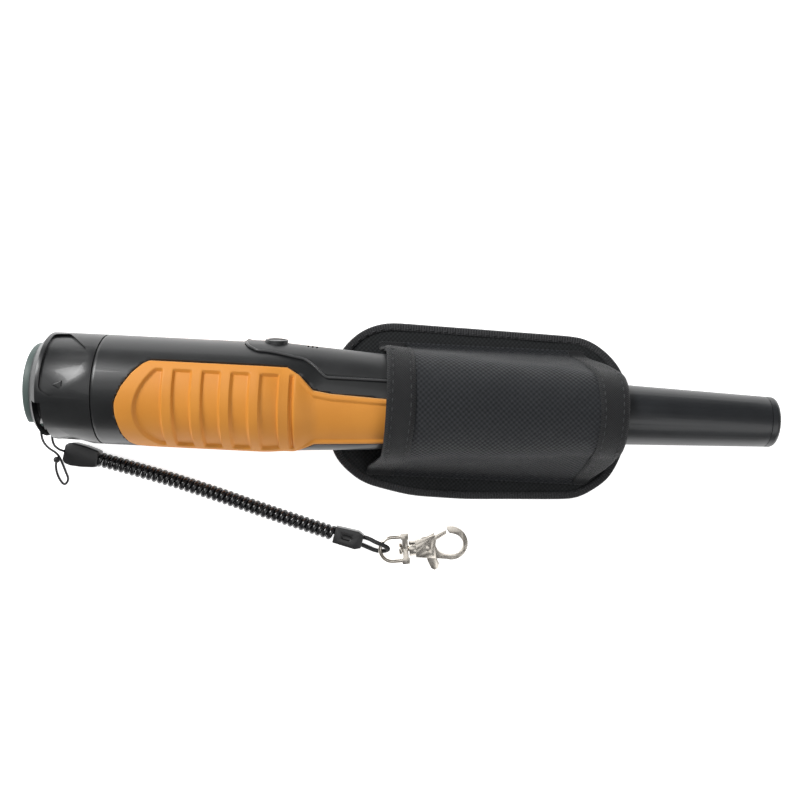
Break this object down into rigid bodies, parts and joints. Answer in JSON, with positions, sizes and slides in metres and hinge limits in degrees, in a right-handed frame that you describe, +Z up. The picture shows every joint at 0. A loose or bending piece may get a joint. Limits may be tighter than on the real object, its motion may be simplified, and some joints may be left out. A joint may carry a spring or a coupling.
{
  "type": "pinpointer probe",
  "caption": "Handheld metal-detecting pinpointer probe in a fabric holster, with a curly lanyard and a trigger clip.",
  "frame": {"origin": "on the ground plane under the probe's axis, at the face of the belt loop that lies on the ground", "axes": "+X along the probe to its tip, +Z up as it lies"},
  "size_m": [0.2422, 0.0837, 0.036],
  "materials": {
    "shell_plastic": "fine satin moulding",
    "grip_rubber": "soft matt rubber",
    "button_plastic": "satin",
    "disc_plastic": "satin",
    "seal_rubber": "matt",
    "inner_plastic": "matt",
    "circuit": "lacquered",
    "steel": "plain",
    "cell": "printed jacket, left plain",
    "wire": "smooth",
    "ferrite": "sintered",
    "copper": "enamelled copper wire",
    "holster_cloth": "ballistic weave",
    "tape": "ribbed tape",
    "string": "braided",
    "curl_plastic": "glossy",
    "sleeve_plastic": "satin",
    "nickel": "polished nickel"
  },
  "bodies": {
    "probe": {"handle_shell": "shell_plastic", "grip_near": "grip_rubber", "grip_far": "grip_rubber", "control_panel": "shell_plastic", "tact_switch": "inner_plastic", "circuit_board": "circuit", "board_parts": "inner_plastic", "board_screws": "steel", "speaker": "inner_plastic", "vibration_motor": "steel", "battery": "cell", "battery_snap": "inner_plastic", "battery_leads": "wire", "probe_tube": "shell_plastic", "tip_cap": "shell_plastic", "ferrite_rod": "ferrite", "coil_bobbin": "inner_plastic", "transmit_winding": "copper", "receive_windings": "copper", "coil_leads": "wire"},
    "button": {"power_button": "button_plastic"},
    "motor_weight": {"motor_weight": "steel"},
    "holster": {"holster_back": "holster_cloth", "holster_binding": "tape", "holster_pocket": "holster_cloth", "mouth_hem": "holster_cloth", "tip_hem": "holster_cloth", "belt_loop": "tape"},
    "lanyard": {"lanyard_string": "string", "string_knot": "string", "sleeve_string_end": "sleeve_plastic", "curly_cord": "curl_plastic", "sleeve_clip_end": "sleeve_plastic", "clip_loop_cord": "string", "swivel_ring": "nickel"},
    "cap": {"tail_cap": "shell_plastic", "cap_end_disc": "disc_plastic", "cap_seal": "seal_rubber", "cap_pad": "seal_rubber"},
    "clip": {"clip_body": "nickel", "swivel_post": "nickel", "gate_pin": "steel"},
    "gate": {"gate": "nickel"}
  },
  "joints": [
    {"name": "button_press", "type": "slide", "parent": "probe", "child": "button", "axis": [0, -0.9848, -0.1736], "range_m": [0, 0.0008], "stiffness_N_per_m": 900},
    {"name": "holster_slide", "type": "slide", "parent": "probe", "child": "holster", "axis": [1, 0, 0], "range_m": [0, 0.15]},
    {"name": "cap_pull", "type": "slide", "parent": "probe", "child": "lanyard", "axis": [-1, 0, 0], "range_m": [0, 0.02]},
    {"name": "cap_twist", "type": "hinge", "parent": "lanyard", "child": "cap", "pos_m": [-0.1, 0, 0.018], "axis": [1, 0, 0], "range_deg": [0, 25]},
    {"name": "motor_spin", "type": "hinge", "parent": "probe", "child": "motor_weight", "pos_m": [-0.019, -0.00246, 0.01757], "axis": [1, 0, 0], "continuous": true},
    {"name": "clip_swivel", "type": "hinge", "parent": "lanyard", "child": "clip", "pos_m": [0.0044, -0.05, 0.0028], "axis": [0.993, 0.1184, 0], "continuous": true},
    {"name": "gate_open", "type": "hinge", "parent": "clip", "child": "gate", "pos_m": [0.01217, -0.04927, 0.0028], "axis": [0, 0, -1], "range_deg": [0, 20], "stiffness_Nm_per_rad": 0.05}
  ]
}
